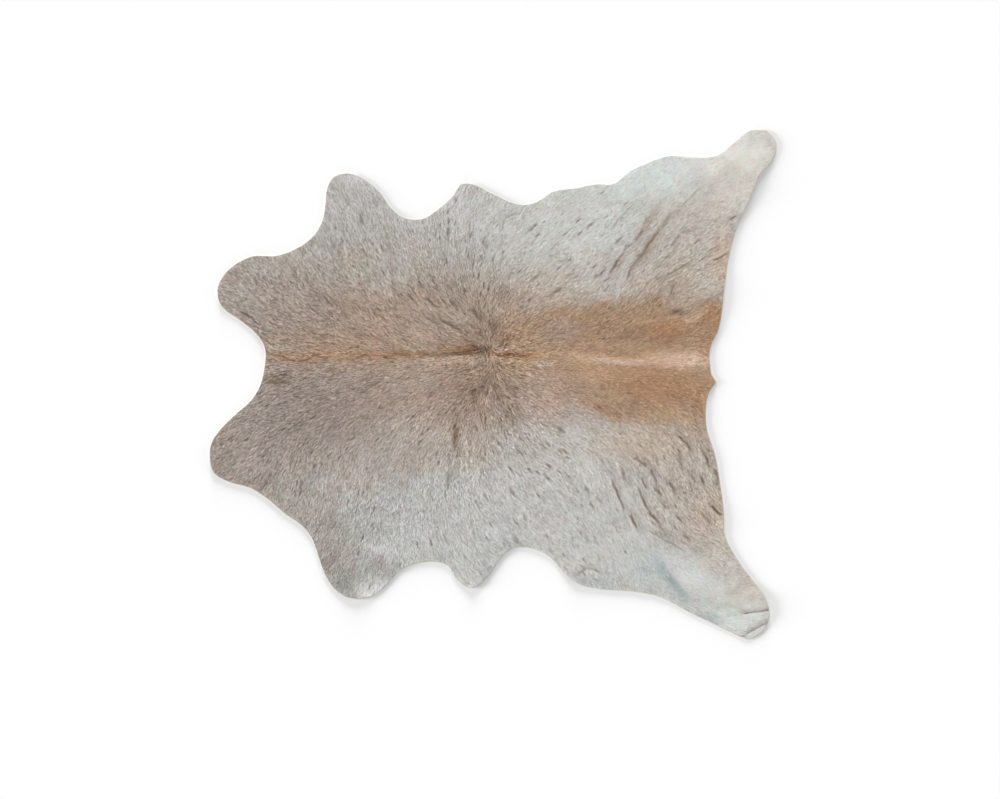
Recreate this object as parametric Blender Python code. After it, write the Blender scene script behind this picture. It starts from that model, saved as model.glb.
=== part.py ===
"""A calfskin rug: one hair-on hide, cut to its natural outline and lying flat on a floor.

The hide is measured the way a tanner lays it out. `along` runs from the foremost point of the
neck towards the tail, and `out` runs sideways from the line of the spine. In the model the tail
points to +X, the animal's right side to +Y, and the hair side up.
"""
import math
from collections import namedtuple

import bmesh
import bpy
import numpy as np
from mathutils import Vector
from mathutils.geometry import delaunay_2d_cdt

MM = 0.001

# Driving sizes, in millimetres
SKIN = 2.0              # thickness of the tanned skin, bare at its cut edge
COAT = 4.0              # depth of the lying hair over the skin
COAT_SETBACK = 8.0      # the coat reaches its full depth this far in from the cut edge
EDGE_STEP = 9.0         # spacing of the points along the cut edge
TOP_STEP = 16.0         # spacing of the points over the hair side
UNDER_STEP = 34.0       # spacing of the points over the flesh side
CREASE_STEP = 9.0       # spacing of the points along a crease

HAIR_COLOUR = (0.40, 0.34, 0.29, 1.0)
HAIR_ROUGHNESS = 0.75

# The outline, in landmarks from the neck round to the tail, once for each side.
# A sharp landmark is a corner, and all others are passed in one smooth curve.
Landmark = namedtuple("Landmark", "along out sharp", defaults=(False,))

RIGHT_NECK = [
    Landmark(98, 0), Landmark(94, 13), Landmark(77, 35), Landmark(52, 55), Landmark(20, 80),
    Landmark(13, 106), Landmark(26, 137), Landmark(50, 157), Landmark(76, 168),
    Landmark(112, 168), Landmark(150, 180), Landmark(184, 206),
]
RIGHT_FORELEG = [
    Landmark(198, 230), Landmark(203, 258), Landmark(207, 290), Landmark(216, 306),
    Landmark(240, 314), Landmark(266, 307), Landmark(299, 281), Landmark(322, 250),
    Landmark(341, 236), Landmark(372, 233), Landmark(402, 251), Landmark(432, 279),
]
RIGHT_BELLY = [
    Landmark(442, 295), Landmark(464, 294), Landmark(502, 276), Landmark(553, 258),
    Landmark(578, 264), Landmark(602, 281), Landmark(646, 288), Landmark(684, 295),
    Landmark(709, 294), Landmark(735, 315), Landmark(778, 335), Landmark(804, 344),
]
RIGHT_HIND_LEG = [
    Landmark(850, 342), Landmark(893, 345), Landmark(924, 368), Landmark(953, 390),
    Landmark(981, 389), Landmark(1000, 366), Landmark(991, 334), Landmark(970, 311),
    Landmark(951, 267), Landmark(929, 216), Landmark(918, 177), Landmark(909, 124),
]
RIGHT_TAIL_EDGE = [
    Landmark(904, 78), Landmark(898, 40), Landmark(883, 6), Landmark(881, -7), Landmark(883, -26),
]

LEFT_NECK = [
    Landmark(98, 10), Landmark(95, 33), Landmark(88, 61), Landmark(72, 87), Landmark(45, 111),
    Landmark(18, 138), Landmark(3, 160), Landmark(0, 188), Landmark(7, 215), Landmark(34, 231),
    Landmark(70, 241), Landmark(99, 259), Landmark(131, 286), Landmark(164, 310),
]
LEFT_FORELEG = [
    Landmark(179, 329), Landmark(191, 361), Landmark(203, 394), Landmark(219, 419),
    Landmark(240, 433), Landmark(279, 435), Landmark(304, 420), Landmark(340, 384),
    Landmark(366, 374), Landmark(400, 372), Landmark(420, 379),
]
LEFT_BELLY = [
    Landmark(434, 402), Landmark(464, 418), Landmark(490, 399), Landmark(514, 364),
    Landmark(536, 347), Landmark(566, 348), Landmark(599, 363), Landmark(624, 390),
    Landmark(651, 411), Landmark(688, 420), Landmark(745, 424), Landmark(794, 434),
]
LEFT_HIND_LEG = [
    Landmark(840, 458), Landmark(884, 480), Landmark(926, 500), Landmark(946, 509),
    Landmark(975, 494), Landmark(987, 468), Landmark(979, 435), Landmark(953, 398),
    Landmark(924, 356), Landmark(907, 318), Landmark(907, 288), Landmark(901, 236),
]
LEFT_TAIL_EDGE = [
    Landmark(890, 176), Landmark(877, 137), Landmark(875, 112), Landmark(881, 72),
    Landmark(894, 54, sharp=True), Landmark(885, 40),
]

# Creases of the hair side: a trough where the coat parts or the skin folds, with a low ridge
# beside it. Each runs through three points, and left-side points lie at a negative out.
Crease = namedtuple("Crease", "start middle end width depth")
SPINE_PARTING = Crease((104, -6), (300, -4), (484, 5), 7, 0.9)
RIGHT_HAUNCH = [
    Crease((826, 232), (776, 194), (740, 130), 8, 1.9),
    Crease((744, 200), (724, 172), (706, 136), 7, 1.5),
    Crease((782, 232), (766, 214), (748, 192), 7, 1.1),
    Crease((914, 176), (890, 166), (866, 158), 6, 0.9),
]
LEFT_HAUNCH = [
    Crease((722, -258), (738, -288), (756, -314), 7, 1.4),
    Crease((756, -252), (778, -282), (812, -306), 8, 1.8),
    Crease((766, -298), (796, -330), (848, -354), 7, 1.2),
    Crease((780, -350), (808, -386), (826, -434), 12, 1.5),
]
HIND_TIP_FOLDS = [
    Crease((944, -461), (962, -458), (980, -457), 5, 1.5),
    Crease((940, -502), (958, -492), (978, -480), 5, 1.3),
    Crease((646, -395), (666, -382), (688, -389), 6, 1.6),
]
CREASES = [SPINE_PARTING, *RIGHT_HAUNCH, *LEFT_HAUNCH, *HIND_TIP_FOLDS]

# Where the coat swirls or lies thicker and thinner, so the hair side is softly uneven.
Swell = namedtuple("Swell", "along out radius height")
SWELLS = [
    Swell(494, 5, 20, -1.4),
    Swell(150, 95, 70, 0.7),
    Swell(130, -170, 80, 0.6),
    Swell(285, 190, 70, -0.5),
    Swell(290, -330, 80, -0.6),
    Swell(430, 150, 80, 0.6),
    Swell(440, -150, 90, 0.5),
    Swell(600, 160, 90, -0.5),
    Swell(620, -220, 90, -0.6),
    Swell(720, 30, 110, 0.8),
    Swell(835, 120, 70, 0.6),
    Swell(840, -180, 80, 0.7),
]

# Parts of the cut edge that have curled up off the floor, by their highest point.
# A curl dies out over its reach inwards and its run along the edge.
Curl = namedtuple("Curl", "along out run reach height")
CURLS = [
    Curl(958, 287, 150, 60, 5.0),
    Curl(905, 100, 120, 45, 3.0),
    Curl(983, -440, 90, 55, 4.5),
    Curl(905, -300, 90, 40, 2.5),
    Curl(640, -410, 90, 45, 3.0),
    Curl(464, -418, 60, 45, 3.0),
    Curl(255, -436, 90, 55, 3.5),
    Curl(4, -190, 80, 50, 3.0),
    Curl(14, 105, 70, 45, 2.5),
    Curl(448, 297, 55, 40, 2.5),
]


def mirrored(rows):
    """The landmarks of the left side, with `out` counted from the spine to the right."""
    return [row._replace(out=-row.out) for row in rows]


def landmark_ring():
    """All landmarks in one closed ring, anticlockwise seen from above."""
    right = RIGHT_NECK + RIGHT_FORELEG + RIGHT_BELLY + RIGHT_HIND_LEG + RIGHT_TAIL_EDGE
    left = LEFT_NECK + LEFT_FORELEG + LEFT_BELLY + LEFT_HIND_LEG + LEFT_TAIL_EDGE
    return mirrored(left) + right[::-1]


def smooth_ring(ring, step):
    """Points every `step` or so along a smooth closed curve through the landmarks."""
    places = [Vector((row.along, row.out)) for row in ring]
    count = len(places)
    chord = [(places[(i + 1) % count] - places[i]).length for i in range(count)]

    def slope(i):
        """Direction of the curve at a landmark, weighted towards the nearer neighbour."""
        before, after = chord[i - 1], chord[i]
        back = (places[i] - places[i - 1]) / before
        ahead = (places[(i + 1) % count] - places[i]) / after
        return (back * after + ahead * before) / (before + after)

    points = []
    for i in range(count):
        j = (i + 1) % count
        straight = (places[j] - places[i]) / chord[i]
        leave = straight if ring[i].sharp else slope(i)
        arrive = straight if ring[j].sharp else slope(j)
        pieces = max(1, round(chord[i] / step))
        for k in range(pieces):
            t = k / pieces
            points.append(
                places[i] * (2 * t**3 - 3 * t**2 + 1)
                + places[j] * (3 * t**2 - 2 * t**3)
                + leave * chord[i] * (t**3 - 2 * t**2 + t)
                + arrive * chord[i] * (t**3 - t**2)
            )
    return np.array([tuple(p) for p in points])


def bend_points(start, middle, end, step):
    """Points along the one arc-like bend that passes through three places."""
    start, middle, end = (np.array(p, float) for p in (start, middle, end))
    handle = 2 * middle - (start + end) / 2
    length = np.linalg.norm(middle - start) + np.linalg.norm(end - middle)
    t = np.linspace(0, 1, max(3, round(length / step) + 1))[:, None]
    return (1 - t) ** 2 * start + 2 * t * (1 - t) * handle + t**2 * end


def nearest_on_path(points, path, closed):
    """Distance from each point to a path, the side it lies on, and how far along that is."""
    tails = path if closed else path[:-1]
    heads = np.roll(path, -1, axis=0) if closed else path[1:]
    run = heads - tails
    length = np.linalg.norm(run, axis=1)
    offset = points[:, None, :] - tails[None, :, :]
    share = np.clip((offset * run).sum(2) / length**2, 0, 1)
    gap = offset - share[..., None] * run
    distance = np.linalg.norm(gap, axis=2)
    nearest = distance.argmin(1)
    rows = np.arange(len(points))
    cross = run[nearest, 0] * gap[rows, nearest, 1] - run[nearest, 1] * gap[rows, nearest, 0]
    travelled = np.concatenate([[0], np.cumsum(length)])
    along = travelled[nearest] + share[rows, nearest] * length[nearest]
    return distance[rows, nearest], np.where(cross < 0, -1.0, 1.0), along / travelled[-1]


def smooth_step(value):
    """0 below 0, 1 above 1, and a smooth ramp between them."""
    t = np.clip(value, 0, 1)
    return t * t * (3 - 2 * t)


def floor_gap(points, edge):
    """How far the flesh side has curled off the floor at each point."""
    inward = nearest_on_path(points, edge, closed=True)[0]
    gap = np.zeros(len(points))
    for curl in CURLS:
        sideways = np.linalg.norm(points - np.array([curl.along, curl.out]), axis=1)
        beside = smooth_step(1 - np.maximum(sideways - inward, 0) / (curl.run / 2 + 1))
        lifted = curl.height * np.clip(1 - inward / curl.reach, 0, 1) ** 2
        gap = np.maximum(gap, lifted * beside)
    return gap


def coat_depth(points, edge):
    """Depth of skin and coat at each point, with the creases and swells of the hair side."""
    inward = nearest_on_path(points, edge, closed=True)[0]
    inside = smooth_step(inward / COAT_SETBACK)
    relief = np.zeros(len(points))
    for swell in SWELLS:
        away = np.linalg.norm(points - np.array([swell.along, swell.out]), axis=1)
        relief += swell.height * np.exp(-((away / swell.radius) ** 2))
    for crease in CREASES:
        path = bend_points(crease.start, crease.middle, crease.end, CREASE_STEP)
        away, side, share = nearest_on_path(points, path, closed=False)
        fade = np.clip(np.sin(math.pi * share), 0.25, 1)
        trough = np.exp(-((away / crease.width) ** 2))
        ridge = 0.5 * np.exp(-(((away * side - 1.9 * crease.width) / crease.width) ** 2))
        relief += crease.depth * fade * (ridge - trough)
    return SKIN + COAT * inside + relief * inside


def inset(edge, distance):
    """The cut edge moved inwards, without the points that a tight bend would fold over."""
    run = np.roll(edge, -1, axis=0) - np.roll(edge, 1, axis=0)
    inward = np.column_stack([-run[:, 1], run[:, 0]]) / np.linalg.norm(run, axis=1)[:, None]
    moved = edge + inward * distance
    return moved[nearest_on_path(moved, edge, closed=True)[0] > 0.95 * distance]


def crease_rows(edge):
    """Points along each crease and its two shoulders, where they lie well inside the edge."""
    rows = []
    for crease in CREASES:
        path = bend_points(crease.start, crease.middle, crease.end, CREASE_STEP)
        run = np.gradient(path, axis=0)
        across = np.column_stack([-run[:, 1], run[:, 0]]) / np.linalg.norm(run, axis=1)[:, None]
        rows += [path + across * crease.width * k for k in (-1.1, 0.0, 1.1)]
    points = np.concatenate(rows)
    return points[nearest_on_path(points, edge, closed=True)[0] > COAT_SETBACK]


def honeycomb(edge, step, keep_out):
    """Evenly spread points inside the edge, clear of it and of the points in `keep_out`."""
    low, high = edge.min(0), edge.max(0)
    rows = []
    for k, out in enumerate(np.arange(low[1], high[1], step * math.sqrt(3) / 2)):
        along = np.arange(low[0] + (k % 2) * step / 2, high[0], step)
        rows.append(np.column_stack([along, np.full(len(along), out)]))
    points = np.concatenate(rows)
    points = points[inside_edge(points, edge)]
    points = points[nearest_on_path(points, edge, closed=True)[0] > 0.5 * step]
    if len(keep_out):
        gap = np.linalg.norm(points[:, None, :] - keep_out[None, :, :], axis=2).min(1)
        points = points[gap > 0.62 * step]
    return points


def inside_edge(points, edge):
    """True for each point that the closed edge surrounds."""
    head = np.roll(edge, -1, axis=0)
    above = (edge[None, :, 1] > points[:, None, 1]) != (head[None, :, 1] > points[:, None, 1])
    rise = np.where(head[:, 1] == edge[:, 1], 1.0, head[:, 1] - edge[:, 1])
    crossing = edge[:, 0] + (points[:, None, 1] - edge[:, 1]) * (head[:, 0] - edge[:, 0]) / rise
    return (above & (points[:, None, 0] < crossing)).sum(1) % 2 == 1


def skin_side(mesh, edge, inner, height):
    """One side of the hide: the edge filled with triangles through its inner points."""
    flat = [Vector(p) for p in np.concatenate([edge, inner])]
    ring = list(range(len(edge)))
    places, _, faces, *_ = delaunay_2d_cdt(flat, [], [ring], 1, 1e-6)
    levels = height(np.array([tuple(p) for p in places]))
    corners = [mesh.verts.new((p.x, p.y, z)) for p, z in zip(places, levels)]
    for face in faces:
        mesh.faces.new([corners[i] for i in face])
    return corners


def build_hide():
    """The whole hide as one closed solid, in metres, resting on z = 0."""
    edge = smooth_ring(landmark_ring(), EDGE_STEP)
    shoulder = inset(edge, 0.6 * COAT_SETBACK)
    creases = crease_rows(edge)
    hair_points = np.concatenate([
        shoulder,
        creases,
        honeycomb(edge, TOP_STEP, np.concatenate([shoulder, creases])),
    ])
    flesh_points = honeycomb(edge, UNDER_STEP, np.zeros((0, 2)))

    mesh = bmesh.new()
    skin_side(mesh, edge, hair_points, lambda p: floor_gap(p, edge) + coat_depth(p, edge))
    skin_side(mesh, edge, flesh_points, lambda p: floor_gap(p, edge))
    cut_edges = [e for e in mesh.edges if e.is_boundary]
    bmesh.ops.bridge_loops(mesh, edges=cut_edges)
    bmesh.ops.triangulate(mesh, faces=mesh.faces[:])
    bmesh.ops.recalc_face_normals(mesh, faces=mesh.faces[:])

    centre = (edge.min(0) + edge.max(0)) / 2
    bmesh.ops.translate(mesh, verts=mesh.verts[:], vec=(-centre[0], -centre[1], 0))
    bmesh.ops.scale(mesh, verts=mesh.verts[:], vec=(MM, MM, MM))
    return mesh


def hair_material():
    """Warm grey-brown calf hair."""
    material = bpy.data.materials.new("calf_hair")
    material.use_nodes = True
    shader = material.node_tree.nodes["Principled BSDF"]
    shader.inputs["Base Color"].default_value = HAIR_COLOUR
    shader.inputs["Roughness"].default_value = HAIR_ROUGHNESS
    shader.inputs["Metallic"].default_value = 0.0
    material.diffuse_color = HAIR_COLOUR
    return material


def main():
    for old in list(bpy.data.objects):
        bpy.data.objects.remove(old, do_unlink=True)
    collection = bpy.data.collections.new("calfskin_rug")
    bpy.context.scene.collection.children.link(collection)

    shape = bpy.data.meshes.new("hide")
    solid = build_hide()
    solid.to_mesh(shape)
    solid.free()
    shape.materials.append(hair_material())
    shape.shade_smooth()
    shape.set_sharp_from_angle(angle=math.radians(50))
    hide = bpy.data.objects.new("hide", shape)
    collection.objects.link(hide)


main()
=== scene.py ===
"""A calfskin rug lying hair side up: its skin, its knife-cut edge and its coat of short hair.

The hide is measured the way a tanner lays it out. `along` runs from the foremost point of the
neck towards the tail, which is +X, and `out` from the line of the spine towards the animal's
right side, which is +Y. Both are in millimetres in the tables, and the model is in metres.
"""
import math
from collections import namedtuple

import bmesh
import bpy
import numpy as np
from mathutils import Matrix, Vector
from mathutils.bvhtree import BVHTree


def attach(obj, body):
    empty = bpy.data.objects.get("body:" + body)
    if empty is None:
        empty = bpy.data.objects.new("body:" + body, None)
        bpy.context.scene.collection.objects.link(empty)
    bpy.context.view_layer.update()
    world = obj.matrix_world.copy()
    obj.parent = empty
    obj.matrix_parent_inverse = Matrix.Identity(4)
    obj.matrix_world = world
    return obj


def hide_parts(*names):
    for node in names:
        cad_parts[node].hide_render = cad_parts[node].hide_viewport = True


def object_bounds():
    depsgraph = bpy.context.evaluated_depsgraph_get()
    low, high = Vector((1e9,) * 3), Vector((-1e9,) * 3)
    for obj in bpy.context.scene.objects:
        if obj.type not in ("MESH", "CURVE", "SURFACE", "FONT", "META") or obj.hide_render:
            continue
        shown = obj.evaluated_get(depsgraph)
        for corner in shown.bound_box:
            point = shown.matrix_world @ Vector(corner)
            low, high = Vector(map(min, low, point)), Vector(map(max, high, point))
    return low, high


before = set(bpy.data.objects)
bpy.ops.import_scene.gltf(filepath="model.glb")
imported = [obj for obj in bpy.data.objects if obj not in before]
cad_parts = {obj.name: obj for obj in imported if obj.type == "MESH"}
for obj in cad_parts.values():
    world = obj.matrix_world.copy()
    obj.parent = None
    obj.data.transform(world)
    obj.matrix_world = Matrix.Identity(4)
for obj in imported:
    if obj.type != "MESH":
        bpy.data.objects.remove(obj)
CAD_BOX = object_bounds()

MM = 0.001


def table(columns, lines, defaults=()):
    """The rows of a table, with its columns named."""
    row = namedtuple("row", columns, defaults=defaults)
    return [row(*line) for line in lines]


# The hide
SKIN = 2.0 * MM  # thickness of the tanned skin
CUT_EDGE = 1.8 * MM  # bare rim that shows beside the trimmed hair
LEFT_REACH = 508 * MM  # from the spine to the furthest point of the left side
SKIN_SHARE = 0.5  # part of each crease that the skin follows
THIN_RIM = 8 * MM  # rim over which the solid thins to its skin
WELD = 0.01 * MM  # corners closer than this are one
UPPER_SLOPE = 0.4  # faces that point up less are edge or underside
SHARP_TURN = 40  # degrees between faces that make an edge sharp
SURVEY_STEP = 4 * MM  # spacing of the points where levels are read
SURVEY_MARGIN = 24 * MM
SURVEY_ROUNDS = 12  # points past the rim that get a level too
BATCH = 4000  # points measured at a time
STREAK_STEPS = 7  # steps that a long streak reaches each way
CREASE_FADE = 0.2  # part of a crease's length over which an end fades
CREASE_END = 0.2  # and how far into that fade its very end is
CREASE_WAVE = 21 * MM  # how a crease wavers: the length of a wave
CREASE_WAVER = 0.22  # and its height, as a part of the crease's width
SECOND_WAVE = 0.7  # a quicker wave on top: its share of the height
SECOND_PITCH = 2.3  # and how many times as quick it is
CREASE_PATCHY = 0.14  # how unevenly the coat parts along it
PATCHY_PITCH = 1.2
CREASE_SHADE = 0.22  # how dark the painted shade on the slope beside a crease is
SHADE_ASIDE = 2.2  # how far aside that slope lies, in widths of the crease
SHADE_WIDTH = 2.0  # and how wide it is
CREST_HIGHLIGHT = 0.18  # how light the painted highlight on the crest on its other side is
CREST_ASIDE = 1.8  # and how far aside that is
CREASE_LIMIT = 6  # widths past which nothing of a crease is left

# The coat, drawn as flat locks of hair that narrow to both ends
COAT = 4.0 * MM  # depth of the lying hair
LOCK_COUNT = 964_000
HAIR_LENGTH = 10.5 * MM
HAIR_WIDTH = 0.62 * MM
LENGTH_SPREAD = (0.75, 1.15)
WIDTH_SPREAD = (0.75, 1.25)
TIP_SPREAD = (0.75, 1.1)  # how high the tips end, as parts of the coat's depth
TUFT_LENGTH = 0.12  # spread of length from tuft to tuft
TUFT_CURL = 0.05  # how far tufts bend aside, as a part of their length
LOCK_CURL = 0.03  # and the locks of one tuft
ROOT_MARGIN = 0.4 * MM  # bare rim in which no lock is rooted
ROOT_DEPTH = 0.3  # how high in the coat the locks start, away from its rim
ROOT_SINK = 0.1 * MM  # how far a root goes into the skin
UNDERSIDE_GAP = 0.15 * MM  # how far every lock stays above the skin's underside
TUFT_WIDTH = 1.9 * MM  # locks gather into tufts of this width
TUFT_STRETCH = 4.0  # and this many times as long
TUFT_CLOSING = 0.6  # how far a tuft's locks close up towards its tip
CLOSING_RANGE = (0.5, 1.3)
TUFT_TURN = 9.0  # spread of the tufts' headings, in degrees
LOCK_TURN = 6.0  # and the locks' within a tuft
TUFT_TONE = 0.25  # spread of lightness from tuft to tuft
LOCK_TONE = 0.58  # and from lock to lock
STREAK_TONE = 0.07  # and in long streaks down the coat
GAP_SHADE_TONE = 0.22  # how much darker the gaps between the tufts are: the under hair shows there, and shade is painted there
GAP_MEAN = 0.4  # share of that by which the whole coat is lighter
GAP_LIMIT = 1.5
ROLL = 30.0  # tilt of the locks at a tuft's sides, in degrees
ROLL_LIMIT = 45
LOCK_ROLL = 14  # spread of the tilt within a tuft
SEEN = 0.65  # part of its length at which a lock mostly shows
FULLNESS = 0.66  # how high the tufts' sides reach in the coat's depth
FULLNESS_RANGE = (0.25, 1.1)
TUFT_CROWN = 0.16  # how much higher the middle of a tuft is
TUFT_DEPTH = 0.08  # spread of depth from tuft to tuft
PARTED_DEPTH = 0.4  # how much lower the coat is where it is parted
RIM_DEPTH = 0.72  # how full it is at the rim
SHOWN_RIM_DEPTH = 0.34  # and how much less where the cut edge shows
RIM_RISE = 9 * MM  # width of rim over which it rises to its full depth
EDGE_SIDE = (0.75, -0.75)  # towards the tail and the left, where the cut edge shows
EDGE_GAP = 0.3 * MM  # how far the hair stops short of the rim elsewhere
EDGE_RAGGED = 0.25 * MM  # and how unevenly
TRIM_ROOM = 0.1 * MM  # how far inside the trimmed edge a root counts at least
SHORTEST = 0.06  # the least part of a lock's length that trimming leaves
NARROWEST = 0.45  # width of such a lock, as a part of a whole one's
SPREAD_LIMIT = 2.2  # no tuft differs by more than this many spreads
SEED = 41

PIECES = ["coat_neck", "coat_shoulder", "coat_back", "coat_loin", "coat_rump"]


def shade(red, green, blue, gain=1.0):
    """A colour given as it looks on a screen, from 0 to 255, as Blender's linear colour."""
    def linear(value):
        value /= 255
        return value / 12.92 if value <= 0.04045 else ((value + 0.055) / 1.055) ** 2.4
    return (*(min(linear(value) * gain, 1.0) for value in (red, green, blue)), 1.0)


COAT_GAIN = 1.5  # locks shade one another, so their own colour is lighter

PALETTE = {
    name: shade(*seen, gain=COAT_GAIN) for name, seen in {
        "grey_beige": (165, 153, 144), "rose_grey": (183, 173, 166), "ash": (154, 143, 136),
        "taupe": (149, 135, 126), "warm_grey": (177, 156, 139), "wheat": (170, 143, 121),
        "driftwood": (148, 124, 105), "rose_beige": (170, 150, 136), "dove": (196, 195, 191),
        "silver": (171, 172, 170), "pale_grey": (195, 195, 191), "stone": (181, 183, 180),
        "whitish": (200, 203, 199), "chalk": (188, 190, 187), "frost": (205, 213, 210),
        "snow": (216, 220, 215), "cream": (208, 207, 201), "sand": (188, 180, 170),
        "beige": (177, 168, 159), "oat": (176, 160, 145), "tan": (163, 135, 108), "ochre": (167, 143, 112),
        "copper": (165, 121, 83), "chestnut": (138, 106, 80), "honey": (168, 131, 96),
        # The pale pinkish colour on the next line serves both paler hair and painted highlights on ridges.
        "russet": (146, 104, 72), "pale_streak": (202, 174, 153), "pewter": (150, 149, 144),
        # The blue-grey colour on the next line is painted shade for soft folds.
        "bark": (136, 117, 101), "umber": (108, 76, 48), "soot": (92, 78, 68), "slate": (150, 161, 163),
        "mist": (183, 189, 186),
    }.items()
}
UNDER_HAIR = shade(126, 99, 79)
PALE_HAIR = shade(209, 205, 198, gain=COAT_GAIN)
TIP_GAIN = (1.46, 1.52, 1.55)  # the palest tips, which are a little greyer
CUT_EDGE_COLOUR = shade(234, 230, 222)
FLESH_COLOUR = shade(214, 203, 188)

# How the hair is combed: the way it lies at each place, anticlockwise from +X in degrees
COMBS = table("along out degrees", [
    (53, 109, 145), (90, 150, 125), (105, 60, 150), (159, 21, 160), (159, 92, 142), (159, 160, 115),
    (247, 162, 116), (238, 268, 110), (320, 210, 115), (247, 70, 143), (335, 92, 125), (335, 25, 152),
    (388, 92, 132), (423, 180, 90), (460, 260, 65), (494, 130, 82), (450, 28, 152), (547, 74, 45),
    (547, 162, 35), (547, 235, 42), (560, 30, 18), (618, 92, 30), (618, 180, 35), (650, 262, 35),
    (688, 56, 38), (720, 120, 55), (765, 80, 50), (759, 304, 35), (794, 198, 45), (865, 321, 35),
    (905, 300, 22), (900, 180, 28), (953, 357, 20), (865, 74, 35), (688, 4, 4), (865, 4, 2),
    (53, -173, 220), (105, -70, 205), (159, -30, 188), (159, -226, 254), (247, -120, 225), (247, -50, 195),
    (335, -138, 226), (350, -60, 205), (247, -226, 256), (290, -290, 246), (212, -367, 240),
    (282, -367, 252), (330, -200, 246), (370, -261, 272), (380, -345, 286), (423, -85, 222),
    (423, -173, 250), (430, -300, 290), (459, -367, 302), (450, -38, 200), (491, -138, 282),
    (510, -245, 302), (500, -345, 320), (547, -85, 325), (547, -191, 316), (570, -25, 354),
    (618, -226, 318), (618, -367, 318), (688, -58, 340), (688, -138, 322), (690, -235, 295),
    (688, -332, 302), (776, -261, 295), (759, -420, 285), (847, -208, 290), (865, -74, 345),
    (865, -138, 315), (830, -420, 340), (900, -261, 300), (865, -367, 330), (935, -420, 350),
    (944, -470, 358),
])
COMB_REACH = 45.0  # in millimetres, as in the tables
WHORL = (494, 3)
WHORL_REACH = 34.0
WHORL_SWIRL = 30.0
WHORL_TURN = 38.0  # spread of the tufts' headings there, in degrees

BAND_REACH = 0.7  # reach of a band's patches, as a part of their spacing


def wavy_band(colour, line, half_width, strength):
    """Patches end to end along a line of places, each given as along and out."""
    return [
        (colour, (near[0] + far[0]) / 2, (near[1] + far[1]) / 2, BAND_REACH * math.dist(near, far),
         half_width, strength, math.degrees(math.atan2(far[1] - near[1], far[0] - near[0])))
        for near, far in zip(line, line[1:])
    ]


# The brown line of the neck, which wanders from side to side
NECK_LINE = [
    (92, -11), (125, -4), (139, -14), (157, -15), (177, -13), (186, -4), (209, -4), (229, -11),
    (258, -9), (278, -5), (303, -12), (327, -5), (356, -6), (388, 0),
]

NECK_END = (210.05, 351.9)  # where the spine starts at the neck, in the photograph's pixels
PIXEL_SIZE = 1.765  # what a pixel of the photograph spans on the hide, in millimetres


def on_hide(x, y):
    """A place read off the photograph, in its pixels, as millimetres along the spine and out."""
    return round((x - NECK_END[0]) * PIXEL_SIZE), round((NECK_END[1] - y) * PIXEL_SIZE)


def seen(start, middle, end, width, depth):
    """A crease whose three points were read off the photograph."""
    return on_hide(*start), on_hide(*middle), on_hide(*end), width, depth
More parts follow.
